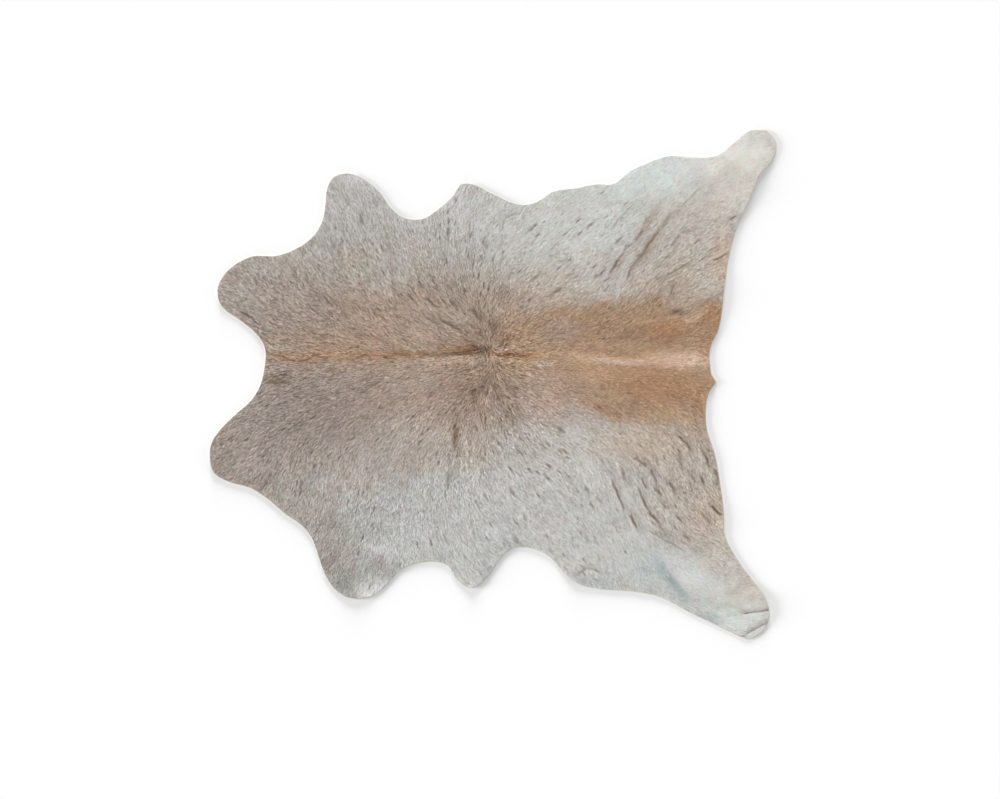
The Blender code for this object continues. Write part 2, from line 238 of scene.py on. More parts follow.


# Patches of colour, laid one over another: centre, reach, strength, turn in degrees, soft edge. Some are
# painted shade in and beside folds and painted highlights on ridges, as noted at their rows.
PATCHES = table("colour along out reach_along reach_out strength turn edge", [
    ("rose_grey", 90, 130, 120, 85, 0.85), ("ash", 110, -150, 160, 95, 0.9, 0, 0.8),
    ("warm_grey", 330, 45, 210, 95, 0.8, 0, 0.8), ("rose_beige", 370, -70, 110, 60, 0.7),
    ("wheat", 230, 0, 230, 36, 0.6), ("taupe", 220, -92, 120, 54, 0.75),
    ("sand", 342, -142, 50, 36, 0.45),
    ("dove", 310, 265, 210, 120, 0.9, 0, 0.8), ("silver", 300, -330, 190, 150, 0.8, 0, 0.8),
    ("pale_grey", 480, 260, 120, 110, 0.8, 0, 0.8), ("stone", 480, -330, 190, 170, 0.9, 0, 0.7),
    ("whitish", 700, 250, 260, 120, 0.95, 6, 0.6), ("chalk", 720, -350, 260, 200, 0.8, 0, 0.7),
    ("sand", 620, 118, 130, 45, 0.6), ("pale_grey", 620, -185, 130, 62, 0.75),
    ("whitish", 712, 132, 62, 36, 0.5), ("dove", 205, 200, 52, 62, 0.55),
    ("sand", 840, 195, 90, 100, 0.9, 0, 0.8), ("sand", 930, 215, 34, 100, 0.75, -14),
    ("sand", 860, 122, 36, 30, 0.65), ("frost", 800, 320, 95, 45, 0.9, 8, 0.8),
    ("snow", 858, 335, 50, 30, 0.9, 8), ("cream", 950, 350, 100, 100, 1, 0, 0.7),
    ("sand", 955, 300, 14, 50, 0.35, -28), ("sand", 915, 302, 50, 34, 0.45, 20),
    # The thin frost line at the start of this line is a painted highlight on the ridge beside a haunch
    # crease.
    ("frost", 836, 229, 15, 1.7, 0.6, 53), ("oat", 992, 345, 12, 20, 0.15),
    ("oat", 790, -165, 120, 40, 0.8, 0, 0.8), ("beige", 855, -250, 90, 100, 0.95, 0, 0.6),
    ("oat", 893, -290, 22, 80, 0.6), ("sand", 922, -360, 80, 36, 0.9, -52, 0.8),
    ("mist", 780, -385, 75, 50, 0.75, -25), ("mist", 860, -450, 90, 40, 0.6, -30),
    ("snow", 862, -398, 58, 32, 0.6, -24), ("frost", 955, -478, 70, 45, 0.6, -20),
    ("cream", 946, -434, 36, 26, 0.3, -40), ("frost", 870, -395, 50, 30, 0.3, -24),
    # The blue-grey slate patches on this line and the next two are painted shade in the soft folds of the
    # hind leg and along the belly's edge.
    ("slate", 815, -405, 42, 9, 0.9, -50), ("slate", 772, -384, 24, 8, 0.35),
    ("slate", 790, -372, 40, 14, 0.25, -50), ("slate", 882, -470, 20, 10, 0.45, -10),
    ("slate", 675, -412, 64, 16, 0.35, -8), ("ash", 216, -350, 34, 100, 0.6, 8),
    ("stone", 335, -355, 62, 42, 0.6), ("pewter", 240, -412, 30, 34, 0.95),
    ("pewter", 292, -318, 40, 12, 0.5), ("snow", 288, -422, 30, 20, 1, 0, 0.6),
    ("snow", 294, -346, 28, 8, 0.65, -14), ("dove", 925, -392, 34, 30, 0.5, -50),
    ("sand", 310, 145, 80, 46, 0.85), ("dove", 256, 228, 55, 42, 0.4), ("snow", 262, 300, 30, 18, 1),
    ("rose_grey", 72, 150, 30, 16, 0.5), ("oat", 235, 165, 80, 28, 0.4),
    ("rose_grey", 160, 110, 65, 42, 0.35), ("beige", 463, -173, 38, 42, 0.8),
    ("oat", 872, -300, 36, 48, 0.45), ("pewter", 256, -385, 55, 42, 0.3), ("oat", 885, -128, 22, 14, 0.5),
    ("dove", 560, 250, 110, 46, 0.3), ("pale_grey", 432, 200, 55, 42, 0.6),
    ("pewter", 304, -377, 34, 18, 0.65, -20, 0.8), ("sand", 348, 182, 42, 30, 0.5),
    ("sand", *on_hide(455, 250), 44, 30, 0.35), ("sand", *on_hide(600, 270), 38, 30, 0.7),
    ("sand", *on_hide(715, 212.5), 24, 28, 0.9),
    ("snow", *on_hide(455, 207.5), 34, 30, 0.6), ("grey_beige", 362, -186, 50, 28, 0.8),
    ("grey_beige", *on_hide(525, 452.5), 32, 28, 0.4), ("grey_beige", 463, -173, 40, 40, 0.3),
    ("oat", 605, -173, 34, 28, 0.35), ("rose_grey", *on_hide(251.5, 463.5), 50, 28, 0.25),
    ("rose_grey", *on_hide(242, 305), 24, 18, 0.8), ("dove", *on_hide(331, 478), 26, 18, 0.3),
    ("sand", *on_hide(710, 565), 38, 20, 0.55, -20), ("whitish", *on_hide(586, 566.5), 28, 18, 0.5),
    ("cream", 348, 182, 42, 30, 0.2), ("cream", *on_hide(384, 260), 40, 28, 0.2),
    ("pewter", *on_hide(290, 487.5), 44, 30, 0.3),
    ("ash", *on_hide(237.5, 276.5), 20, 20, 0.5), ("taupe", 160, 108, 62, 44, 0.15),
    ("warm_grey", *on_hide(377.5, 401.5), 28, 20, 0.4),
    ("silver", 344, -270, 68, 50, 0.35), ("grey_beige", 873, -300, 34, 48, 0.2),
    # The narrow driftwood strips on this line and the next, turned by 55 to 58 degrees, are painted shade
    # on the slopes beside the haunch's creases.
    ("driftwood", 769, 180, 50, 9, 0.5, 55), ("driftwood", 724, 158, 24, 6, 0.4, 57),
    ("driftwood", 766, 216, 34, 8, 0.35, 58), ("oat", 470, 0, 130, 95, 0.75),
    ("driftwood", 468, -48, 78, 98, 0.8), ("tan", 590, 0, 115, 92, 0.85, 0, 0.8),
    ("tan", 600, 48, 110, 34, 0.7, 6, 0.7), ("tan", 770, 38, 220, 58, 0.97, 0, 0.3),
    ("tan", 790, -58, 210, 70, 0.97, -5, 0.25), ("rose_beige", 590, -70, 80, 38, 0.7, 0, 0.8),
    ("ochre", 770, 82, 50, 16, 0.6), ("ochre", 800, -116, 70, 20, 0.6, -4),
    ("chestnut", 770, 28, 90, 22, 0.35), ("copper", 805, 42, 45, 18, 0.6),
    ("copper", 892, 60, 26, 36, 0.55), ("copper", 800, -62, 100, 32, 0.55, -4),
    ("chestnut", 800, -62, 95, 28, 0.18), ("chestnut", 843, 32, 38, 24, 0.28),
    ("honey", 868, -98, 18, 26, 0.6), ("chestnut", 845, -95, 40, 18, 0.4, -20),
    ("copper", 762, -100, 34, 20, 0.3), ("chestnut", 690, -98, 22, 12, 0.4, -20),
    # The bark spot at the end of this line and the four thin pale strips after it are painted shade above a
    # fold's ridge in the tan and a painted highlight along that ridge.
    ("oat", 834, 98, 30, 36, 0.8, 0, 0.7), ("bark", 826, 71, 14, 7, 0.8, 0, 0.8),
    ("pale_streak", 776, 53, 24, 3, 0.5, 9), ("pale_streak", 812, 60, 18, 3, 0.6),
    ("pale_streak", 840, 55, 10, 3, 0.6, -24), ("pale_streak", 861, 61, 18, 3, 0.6, 37),
    ("bark", 816, 106, 6, 22, 0.5, 10), ("honey", 780, -12, 140, 16, 0.5),
    # The pale strips along the spine towards the tail, on this line and the next two, are paler hair with a
    # painted highlight on the ridge of the back.
    ("pale_streak", 838, -13, 76, 15, 0.95), ("pale_streak", 720, -16, 60, 7, 0.6, -3),
    ("sand", 690, -13, 9, 2.6, 0.45), ("sand", 716, -18, 22, 2.8, 0.5, -3),
    ("sand", 747, -20, 12, 2.4, 0.4, 3), ("rose_grey", 588, -21, 14, 7, 0.4),
    ("ochre", 885, -118, 12, 34, 0.6), ("pale_streak", *on_hide(580, 357), 40, 9, 0.35),
    ("pale_streak", *on_hide(632.5, 345), 26, 9, 0.25),
    ("pale_streak", *on_hide(698, 371.5), 16, 12, 0.15),
    ("pale_streak", *on_hide(640, 284), 38, 26, 0.4), ("pale_streak", 903, 170, 22, 44, 0.65, -10),
    ("oat", *on_hide(680, 270), 38, 36, 0.35), ("honey", 877, 3, 15, 22, 0.85),
    ("taupe", 616, 40, 40, 24, 0.5),
    ("driftwood", *on_hide(602.5, 392.5), 28, 18, 0.35), ("honey", 860, -136, 20, 18, 0.3),
    ("driftwood", *on_hide(632, 409), 38, 18, 0.8), ("driftwood", 637, -66, 30, 22, 0.75),
    ("wheat", *on_hide(688.5, 408.5), 18, 14, 0.3), ("rose_beige", *on_hide(510, 316), 20, 16, 0.5),
    ("dove", 425, 70, 52, 46, 0.13), ("tan", 425, 16, 46, 9, 0.35, 3), ("tan", 425, -24, 50, 8, 0.25, 3),
    ("dove", *on_hide(470, 276), 36, 28, 0.28), ("bark", 512, -78, 34, 40, 0.7),
    ("chestnut", 522, 18, 18, 18, 0.8),
    ("bark", 476, -17, 20, 13, 1, 0, 0.7), ("grey_beige", 503, -100, 20, 22, 0.4),
    ("bark", 532, -112, 12, 22, 0.5), ("bark", 463, -72, 14, 16, 0.6), ("bark", 500, 46, 14, 16, 0.7),
    ("bark", 515, 98, 14, 18, 0.5), ("bark", 494, 20, 18, 80, 0.12), ("rose_beige", 485, 45, 10, 40, 0.5),
    ("bark", 118, -48, 28, 15, 0.8), ("bark", 433, -148, 8, 34, 0.75, 4),
    ("pale_streak", 425, -17, 60, 10, 0.45, 3), ("honey", 240, -7, 165, 8, 0.35, 1.5),
    ("pale_streak", 165, -6, 75, 11, 0.5), ("sand", 125, 6, 34, 9, 0.4),
    *wavy_band("honey", NECK_LINE, 8.5, 0.45),
    ("sand", 250, -20, 60, 2.5, 0.4, 2), ("umber", 142, -13, 12, 1.9, 0.55, -22),
    ("umber", 161, -16, 12, 1.9, 0.6, 8), ("umber", 183, -8, 14, 1.9, 0.65, 24),
    ("umber", 203, -9, 16, 2, 0.5), ("umber", 236, -13, 12, 1.7, 0.5, -6),
    ("umber", 271, -7, 8, 2.8, 0.75),
    ("umber", 314, -9, 9, 3.4, 0.85), ("umber", 342, -6, 12, 2.4, 0.6, 14),
    ("umber", 378, -8, 8, 2.6, 0.45, 30), ("russet", 334, -3, 20, 6, 0.75, 10),
    ("russet", 366, -3, 16, 5, 0.3, -14), ("russet", 402, -3, 24, 6, 0.5, 10),
    ("honey", 434, 2, 30, 8, 0.8, 2, 0.8), ("russet", 460, 5, 28, 8, 0.9, 8, 0.8),
    ("cream", 367, 3, 18, 2.2, 0.35, 10), ("pale_streak", 434, -11, 32, 3.8, 0.9, 4),
    ("umber", 424, -4, 26, 3, 0.65, 8), ("umber", 462, 1, 24, 4, 0.8, 8, 0.8),
    ("soot", 486, 2, 16, 11, 0.8), ("sand", 466, -17, 9, 6, 0.35, 20), ("copper", 542, -4, 52, 8, 0.6),
    ("russet", 530, -4, 36, 6, 1, 0, 0.8), ("umber", 526, -5, 30, 3, 0.9), ("sand", 530, 4, 16, 2.8, 0.5),
], defaults=(0, 0.9))
PATCH_FADE = 0.6  # part of a patch's soft edge that lies past its reach
RIM_WANDER = 0.07  # how raggedly the patches end, as a part of their reach
CLOUDING = 0.032  # how much the colour clouds over from place to place
HUE_SPREAD = 0.018  # how far it strays to pinkish and greenish
BROAD_WAVES = 60 * MM  # how far apart the waves of each are
CLOSE_WAVES = 14 * MM
CLOUD_WAVES = 26 * MM
HUE_WAVES = 9 * MM
NOISE_OCTAVES = 3
OCTAVE_FALL = 1.7  # how many times weaker each finer set of waves is

# Creases of the hide and strokes where the hair parts, each darkened by parted hair and painted shade, with
# painted shade on the slope to one side and a painted highlight on the crest to the other: three points,
# width and depth of the parting
CREASES = table("start middle end width depth", [
    ((360, -1), (425, -6), (474, -2), 1.6, 0.3), ((318, 206), (324, 118), (338, 14), 3, 0.25),
    seen((620.5, 258.5), (614.5, 265), (609.6, 275.6), 2.8, 0.8),
    seen((627, 244.5), (623, 253), (618, 260), 2.2, 0.6),
    seen((612, 277.5), (608, 279.5), (603, 281), 1.8, 0.5),
    seen((636.5, 260.5), (631, 268.5), (626.5, 281), 2.5, 0.65),
    seen((647, 250), (640, 256.5), (634, 264), 4.6, 0.5),
    seen((659.5, 231.5), (651.5, 240.5), (643, 253), 3.2, 0.65),
    seen((672, 213), (664, 224), (657, 234), 4.2, 0.4),
    seen((680, 211), (675, 211.8), (670, 214), 2, 0.35),
    seen((700, 187), (689, 199), (680, 209), 1.8, 0.35), ((764, 218), (756, 203), (747, 193), 3, 0.5),
    ((781, 246), (773, 235), (765, 221), 3, 0.3),
    seen((619.5, 239.5), (617.5, 242), (615.8, 245), 2.2, 0.5),
    seen((636, 202), (619, 219), (612, 229.5), 1.6, 0.3),
    seen((680, 235), (674, 242), (670, 247.5), 2.5, 0.5),
    seen((695, 231), (688, 231.5), (681, 233), 4.5, 0.25),
    seen((696, 214), (691, 214.5), (687, 216), 1.6, 0.4),
    seen((691.5, 260), (679, 268.5), (665, 276), 1.9, 0.6),
    seen((662.5, 276.5), (658, 279), (654, 281.5), 1.5, 0.4),
    seen((729, 251.5), (720.5, 257.5), (711, 261), 2, 0.75),
    seen((678, 281), (672, 288), (670.6, 298), 2.2, 0.3),
    seen((696, 283), (692.5, 285.5), (689, 287), 2, 0.4),
    seen((723, 244), (714, 248), (706, 252.5), 1.5, 0.35),
    seen((611, 478), (616, 490.5), (625, 511), 2.5, 0.85),
    seen((629.5, 514), (633, 521), (636.5, 530), 2.6, 0.9),
    seen((638, 487), (644, 502), (650, 513.5), 2.6, 0.85),
    seen((648, 510), (653, 517), (661, 524), 3, 0.9),
    seen((650, 519), (657, 525), (664.5, 529), 1.8, 0.65),
    seen((646, 529), (663, 538.5), (686, 552), 1.8, 0.45),
    ((789, -308), (815, -326), (846, -343), 1.6, 0.3), ((806, -318), (830, -332), (862, -352), 1.5, 0.25),
    seen((621.5, 470), (623.5, 475.5), (625.5, 481.5), 3, 0.7),
    seen((641, 478), (643.5, 483), (646, 488.5), 2.1, 0.85),
    seen((650, 468), (653, 475.5), (657, 483), 3, 0.85),
    seen((654, 485.5), (657.5, 490.5), (661, 495.5), 3, 0.75),
    seen((668, 481), (671.5, 486), (676, 492), 3.6, 0.7),
    seen((633.5, 458), (639.5, 461), (646.5, 465.5), 2.6, 0.8),
    seen((676.5, 435), (684, 441.5), (690.5, 450), 2.6, 0.85),
    seen((701.5, 448), (705, 456.5), (710, 469), 3.1, 0.8),
    seen((714.5, 468), (716.5, 477), (717, 487), 3.4, 0.65),
    seen((690, 474), (692.5, 478), (696, 482.5), 2.3, 0.7),
    seen((700, 475.5), (702, 480.5), (705, 488), 2.3, 0.8),
    seen((689.5, 482), (690.5, 486), (691.5, 491), 2, 0.55),
    seen((680, 454), (680.5, 462), (681.5, 471), 3.1, 0.4),
    seen((660, 501.5), (664, 505), (668.5, 508.5), 2.3, 0.7),
    seen((677, 516), (679, 518.5), (682, 522), 2.3, 0.7),
    seen((701, 513.5), (705, 517.5), (710, 522.5), 3.1, 0.65),
    seen((709.5, 504), (715, 510), (722, 515.5), 2.9, 0.95),
    seen((612, 521), (614.5, 526), (618, 532), 1.8, 0.45),
    ((936, -462), (964, -458), (1000, -453), 1.6, 0.9), ((934, -505), (960, -489), (990, -474), 1.7, 0.8),
    ((646, -395), (666, -382), (688, -389), 2.2, 0.7), ((517, 213), (522, 236), (549, 242), 1.6, 0.5),
    ((479, 196), (483, 189), (488, 182), 2, 0.6), ((459, 77), (470, 65), (480, 55), 3.2, 0.9),
    ((490, 55), (498, 49), (508, 44), 3, 0.6), ((383, 61), (392, 54), (403, 46), 2.2, 0.6),
    ((441, 30), (456, 20), (471, 13), 2, 0.45), ((476, 42), (479, 33), (483, 23), 2.2, 0.55),
    ((514, -44), (521, -56), (527, -70), 2.2, 0.5), ((531, -66), (537, -76), (541, -88), 1.8, 0.4),
    ((427, -56), (434, -61), (442, -68), 2.2, 0.4), ((166, 132), (175, 121), (184, 110), 1.8, 0.4),
    ((166, 37), (181, 28), (197, 20), 1.8, 0.35), ((404, 57), (424, 47), (445, 35), 2.2, 0.75),
    ((432, 90), (434, 81), (437, 70), 3, 0.75), ((379, 96), (391, 86), (404, 75), 2.6, 0.75),
    ((425, -102), (432, -110), (441, -117), 1.8, 0.5), ((474, -58), (482, -68), (489, -80), 2.4, 0.7),
    ((497, -55), (504, -70), (508, -88), 2.4, 0.65), ((458, -67), (462, -78), (464, -88), 2.2, 0.6),
    ((107, -52), (120, -55), (135, -51), 3, 0.7), ((281, -64), (292, -57), (304, -50), 1.8, 0.6),
    ((147, 139), (151, 130), (155, 121), 1.8, 0.6), ((182, 201), (180, 194), (178, 186), 1.6, 0.55),
    ((265, 242), (268, 233), (272, 224), 2.6, 0.75), ((162, -226), (161, -240), (159, -254), 2.2, 0.65),
    ((432, -124), (432, -147), (429, -170), 3, 0.6), ((422, -208), (420, -226), (418, -247), 2.4, 0.6),
])

# Single partings of the coat that show the under hair, each a spindle along the lie of the hair
PARTINGS = table("along out length width depth", [
    (355, 95, 18, 5, 0.8), (388, 90, 18, 4, 0.65), (428, 86, 16, 5, 0.8), (468, 70, 20, 6, 0.8),
    (430, 45, 29, 5, 0.65), (150, 130, 15, 5, 0.45), (128, 117, 15, 5, 0.45), (64, 66, 26, 5, 0.8),
    (420, 212, 15, 5, 0.65), (460, 205, 15, 5, 0.65), (456, 170, 13, 4, 0.6), (464, 152, 13, 4, 0.6),
    (492, 112, 20, 5, 0.65), (500, 165, 13, 4, 0.5), (567, 216, 16, 4, 0.55), (672, 225, 13, 4, 0.65),
    (720, 196, 15, 4, 0.65), (612, 108, 24, 6, 0.7), (572, 130, 20, 5, 0.6), (690, 138, 15, 5, 0.6),
    (640, 40, 13, 4, 0.5), (700, 52, 13, 4, 0.5), (600, 20, 13, 3, 0.45), (922, 236, 18, 5, 0.65),
    (620, -138, 20, 6, 0.65), (546, -176, 13, 5, 0.65), (590, -168, 13, 4, 0.5), (598, -202, 15, 5, 0.8),
    (596, -223, 14, 5, 0.8), (534, -248, 20, 6, 0.65), (665, -242, 13, 5, 0.65), (486, -255, 15, 5, 0.5),
    (632, -220, 15, 4, 0.5), (540, -330, 20, 6, 0.45), (665, -330, 15, 5, 0.4), (620, -250, 18, 4, 0.5),
    (760, -166, 13, 5, 0.65), (840, -326, 22, 6, 0.65), (820, -309, 15, 3, 0.65), (180, -176, 15, 5, 0.6),
    (185, -202, 15, 5, 0.6), (100, -230, 26, 8, 0.5), (275, -48, 18, 5, 0.5), (465, -70, 20, 7, 0.65),
    (416, -330, 20, 5, 0.4), (345, 20, 13, 4, 0.45), (476, 30, 13, 5, 0.65), (820, 70, 15, 6, 0.8),
])

# Zones where small partings are strewn, and what part of the tufts they take
STREWN = table("along out reach_along reach_out share", [
    (640, 190, 230, 95, 0.07), (600, -260, 240, 140, 0.08), (820, -210, 90, 110, 0.06),
    (830, 190, 90, 80, 0.03), (460, 150, 80, 130, 0.1), (494, -60, 60, 120, 0.16),
    (280, -330, 110, 110, 0.07), (270, 210, 100, 100, 0.06), (690, 60, 190, 50, 0.04),
    (740, -90, 150, 50, 0.04), (250, 0, 250, 260, 0.07),
])
STREWN_SPACING = 8 * MM
STREWN_LENGTH = 7.5 * MM
STREWN_WIDTH = 1.3 * MM
STREWN_SIZES = (0.5, 1.5)
STREWN_STRETCH = 1.6
STREWN_DEPTH = 0.5
STREWN_RIM = 1.4  # how sharply their zones end

# Where the coat is ruffled and mottled (above 0) or sleek and even (below 0)
RUFFLES = table("along out reach amount", [
    (90, 100, 120, 0.8), (170, 40, 90, 0.9), (100, -90, 90, 0.3), (290, 130, 110, 0.4), (494, 5, 90, 0.5),
    (494, -110, 70, 0.75), (320, -140, 90, -0.3), (620, 230, 160, -0.45), (690, -330, 130, -0.45),
    (420, -330, 110, -0.25), (620, -20, 80, -0.35), (790, 20, 100, -0.34), (730, 80, 60, 0.25),
    (760, -70, 120, -0.3), (820, 200, 90, -0.1), (820, 310, 100, -0.45), (950, 340, 90, -0.75),
    (830, -400, 90, -0.48), (930, -440, 80, -0.5), (965, -470, 50, -0.55), (270, -360, 90, -0.25),
])
RUFFLE_RANGE = (0.15, 2.0)


def read_grid(values, cell, share):
    """A grid's values between its points, each place given as a cell and its share of it."""
    i, j = cell.T
    s, t = share.T
    if values.ndim == 3:
        s, t = s[:, None], t[:, None]
    near = values[i, j] * (1 - s) + values[i + 1, j] * s
    far = values[i, j + 1] * (1 - s) + values[i + 1, j + 1] * s
    return near * (1 - t) + far * t


class Field:
    """Values on an even grid over the hide, read smoothly between its points."""

    def __init__(self, low, values):
        self.low = low
        self.values = values

    def at(self, places):
        spot = (places - self.low) / SURVEY_STEP
        cell = np.clip(np.floor(spot).astype(int), 0, np.array(self.values.shape[:2]) - 2)
        return read_grid(self.values, cell, np.clip(spot - cell, 0, 1))


def smooth_step(value):
    t = np.clip(value, 0, 1)
    return t * t * (3 - 2 * t)


def on_hide(along, out):
    """The place of a point that the tables give in millimetres."""
    return np.array([CAD_BOX[0].x + along * MM, CAD_BOX[0].y + LEFT_REACH + out * MM])


def spread_outwards(values, known):
    """Fills the unknown points of a grid from their known neighbours, a ring at a time."""
    values = np.where(known, values, 0.0)
    for _ in range(SURVEY_ROUNDS):
        total = np.zeros_like(values)
        count = np.zeros_like(values)
        for shift, axis in ((1, 0), (-1, 0), (1, 1), (-1, 1)):
            total += np.roll(values * known, shift, axis)
            count += np.roll(known.astype(float), shift, axis)
        fresh = ~known & (count > 0)
        values[fresh] = total[fresh] / count[fresh]
        known = known | fresh
    return values


def distance_to_ring(points, tails, heads):
    """Distance from each point to the nearest of the ring's straight pieces."""
    run = heads - tails
    size = (run**2).sum(1)
    nearest = np.empty(len(points))
    for first in range(0, len(points), BATCH):
        offset = points[first:first + BATCH, None, :] - tails[None]
        share = np.clip((offset * run).sum(2) / size, 0, 1)
        gap = offset - share[..., None] * run
        nearest[first:first + BATCH] = np.sqrt((gap**2).sum(2).min(1))
    return nearest


def merged_copy(node):
    """A node's mesh with its loose triangles joined, as a bmesh."""
    mesh = bmesh.new()
    mesh.from_mesh(node.data)
    bmesh.ops.remove_doubles(mesh, verts=mesh.verts[:], dist=WELD)
    return mesh


def hair_side(node):
    """The upper surface of the hide's solid, open at its rim."""
    mesh = merged_copy(node)
    rest = [f for f in mesh.faces if f.normal.z < UPPER_SLOPE]
    bmesh.ops.delete(mesh, geom=rest, context="FACES")
    return mesh


class Survey:
    """The hide's levels, read off its solid: the skin's two sides and the room for hair."""

    def __init__(self, node):
        solid = merged_copy(node)
        tree = BVHTree.FromBMesh(solid)
        solid.free()
        low = np.array(CAD_BOX[0].xy) - SURVEY_MARGIN
        high = np.array(CAD_BOX[1].xy) + SURVEY_MARGIN
        count = np.ceil((high - low) / SURVEY_STEP).astype(int) + 1
        xs = low[0] + np.arange(count[0]) * SURVEY_STEP
        ys = low[1] + np.arange(count[1]) * SURVEY_STEP
        under = np.full(count, np.nan)
        top = np.full(count, np.nan)
        for i, x in enumerate(xs):
            for j, y in enumerate(ys):
                hit = tree.ray_cast(Vector((x, y, 1)), Vector((0, 0, -1)))[0]
                if hit:
                    top[i, j] = hit.z
                    under[i, j] = tree.ray_cast(Vector((x, y, -1)), Vector((0, 0, 1)))[0].z
        inside = ~np.isnan(top)

        rim = hair_side(node)
        ends = [(e.verts[0].co.xy, e.verts[1].co.xy) for e in rim.edges if e.is_boundary]
        rim.free()
        tails = np.array([tuple(a) for a, _ in ends])
        heads = np.array([tuple(b) for _, b in ends])
        grid = np.stack(np.meshgrid(xs, ys, indexing="ij"), 2).reshape(-1, 2)
        inward = distance_to_ring(grid, tails, heads).reshape(count) * np.where(inside, 1, -1)

        full = inside & (inward > THIN_RIM)
        relief = spread_outwards(top - under - SKIN - COAT, full)
        under = spread_outwards(under, inside)
        out_x, out_y = np.gradient(-inward, SURVEY_STEP)
        self.under = Field(low, under)
        self.skin = Field(low, under + SKIN + SKIN_SHARE * relief)
        self.room = Field(low, COAT + (1 - SKIN_SHARE) * relief)
        self.inward = Field(low, inward)
        self.outwards = Field(low, np.stack([out_x, out_y], 2))
        self.low, self.high = low, high
        self.comb = Field(low, comb_directions(grid).reshape(*count, 2))
        self.ruffle = Field(low, ruffle_amount(grid).reshape(count))
        self.streak = Field(low, streaks(grid, self.comb).reshape(count))
        self.area = inside.sum() * SURVEY_STEP**2


def comb_directions(places):
    """Unit vectors of the way the hair lies, blended from the table and round the whorl."""
    total = np.zeros((len(places), 2))
    for comb in COMBS:
        away = ((places - on_hide(comb.along, comb.out)) ** 2).sum(1) / MM**2
        weight = 1 / (away + COMB_REACH**2) ** 2
        angle = math.radians(comb.degrees)
        total += weight[:, None] * np.array([math.cos(angle), math.sin(angle)])
    total /= np.linalg.norm(total, axis=1)[:, None]
    spokes = places - on_hide(*WHORL)
    radius = np.linalg.norm(spokes, axis=1)[:, None] + 1e-6
    near = np.exp(-((radius / (WHORL_REACH * MM)) ** 2))
    blended = total * (1 - near) + spokes / radius * near
    return blended / (np.linalg.norm(blended, axis=1)[:, None] + 1e-9)


def ruffle_amount(places):
    amount = np.ones(len(places))
    for row in RUFFLES:
        away = ((places - on_hide(row.along, row.out)) ** 2).sum(1) / (row.reach * MM) ** 2
        amount += row.amount * np.exp(-away)
    return np.clip(amount, *RUFFLE_RANGE)


def streaks(places, comb):
    """Long soft streaks that follow the lie of the hair, spread evenly about 0."""
    rng = np.random.default_rng(SEED + 2)
    grain = Field(comb.low, rng.normal(0, 1, comb.values.shape[:2]))
    total = grain.at(places)
    for way in (-1, 1):
        spot = places
        for step in range(1, STREAK_STEPS + 1):
            spot = spot + way * SURVEY_STEP * comb.at(spot)
            total += grain.at(spot) * (1 - step / (STREAK_STEPS + 1))
    return (total - total.mean()) / total.std()


def bend_points(crease, phase, count=30):
    """Points along the bend through a crease's three places, which wavers, and its side."""
    start, middle, end = (on_hide(*p) for p in (crease.start, crease.middle, crease.end))
    handle = 2 * middle - (start + end) / 2
    t = np.linspace(0, 1, count)[:, None]
    bend = (1 - t) ** 2 * start + 2 * t * (1 - t) * handle + t**2 * end
    run = end - start
    length = np.linalg.norm(run)
    side = np.array([-run[1], run[0]]) / length
    beat = 2 * math.pi * length / CREASE_WAVE * t
    waver = np.sin(beat + phase) + SECOND_WAVE * np.sin(SECOND_PITCH * beat + 2 * phase)
    return bend + CREASE_WAVER * crease.width * MM * waver * side, side


def creased(places):
    """How dark a crease makes the coat, as parted hair and painted shade over it and painted shade on the
    slope beside it, and how light the painted highlight on its crest is.
    """
    parted = np.zeros(len(places))
    crest_highlight = np.zeros(len(places))
    for phase, crease in enumerate(CREASES):
        path, side = bend_points(crease, phase)
        width = crease.width * MM
        limit = CREASE_LIMIT * width
        near = np.flatnonzero(((places > path.min(0) - limit) & (places < path.max(0) + limit)).all(1))
        away, shaded, raised = (
            distance_to_ring(places[near], line[:-1], line[1:])
            for line in (path, path + SHADE_ASIDE * width * side, path - CREST_ASIDE * width * side)
        )
        first, last = (np.linalg.norm(places[near] - p, axis=1) for p in (path[0], path[-1]))
        fade = CREASE_FADE * np.linalg.norm(path[-1] - path[0])
        patch = np.sin(PATCHY_PITCH * math.pi * first / CREASE_WAVE + 3 * phase)
        patchy = 1 - CREASE_PATCHY + CREASE_PATCHY * patch
        depth = crease.depth * smooth_step(np.minimum(first, last) / fade + CREASE_END)
        # The line over the crease is parted hair and painted shade in its trough; beside it lies painted
        # shade on the slope.
        line = patchy * np.exp(-((away / width) ** 2))
        painted_fold_shade = CREASE_SHADE * np.exp(-((shaded / (SHADE_WIDTH * width)) ** 2))
        parted[near] = np.maximum(parted[near], depth * np.maximum(line, painted_fold_shade))
        crest_highlight[near] = np.maximum(crest_highlight[near], depth * np.exp(-((raised / width) ** 2)))
    return parted, crest_highlight


def soft_noise(places, spacing, seed, channels=1):
    """Smooth random values about 0 at each place, with finer and finer waves in them."""
    rng = np.random.default_rng(seed)
    low = np.array(CAD_BOX[0].xy) - SURVEY_MARGIN
    size = np.array((CAD_BOX[1] - CAD_BOX[0]).xy) + 2 * SURVEY_MARGIN
    total = np.zeros((len(places), channels))
    for octave in range(NOISE_OCTAVES):
        step = spacing / 2**octave
        waves = rng.normal(0, 1, (*np.ceil(size / step).astype(int) + 2, channels))
        spot = np.maximum((places - low) / step, 0)
        cell = np.minimum(spot.astype(int), np.array(waves.shape[:2]) - 2)
        total += read_grid(waves, cell, smooth_step(spot - cell)) / OCTAVE_FALL**octave
    return total


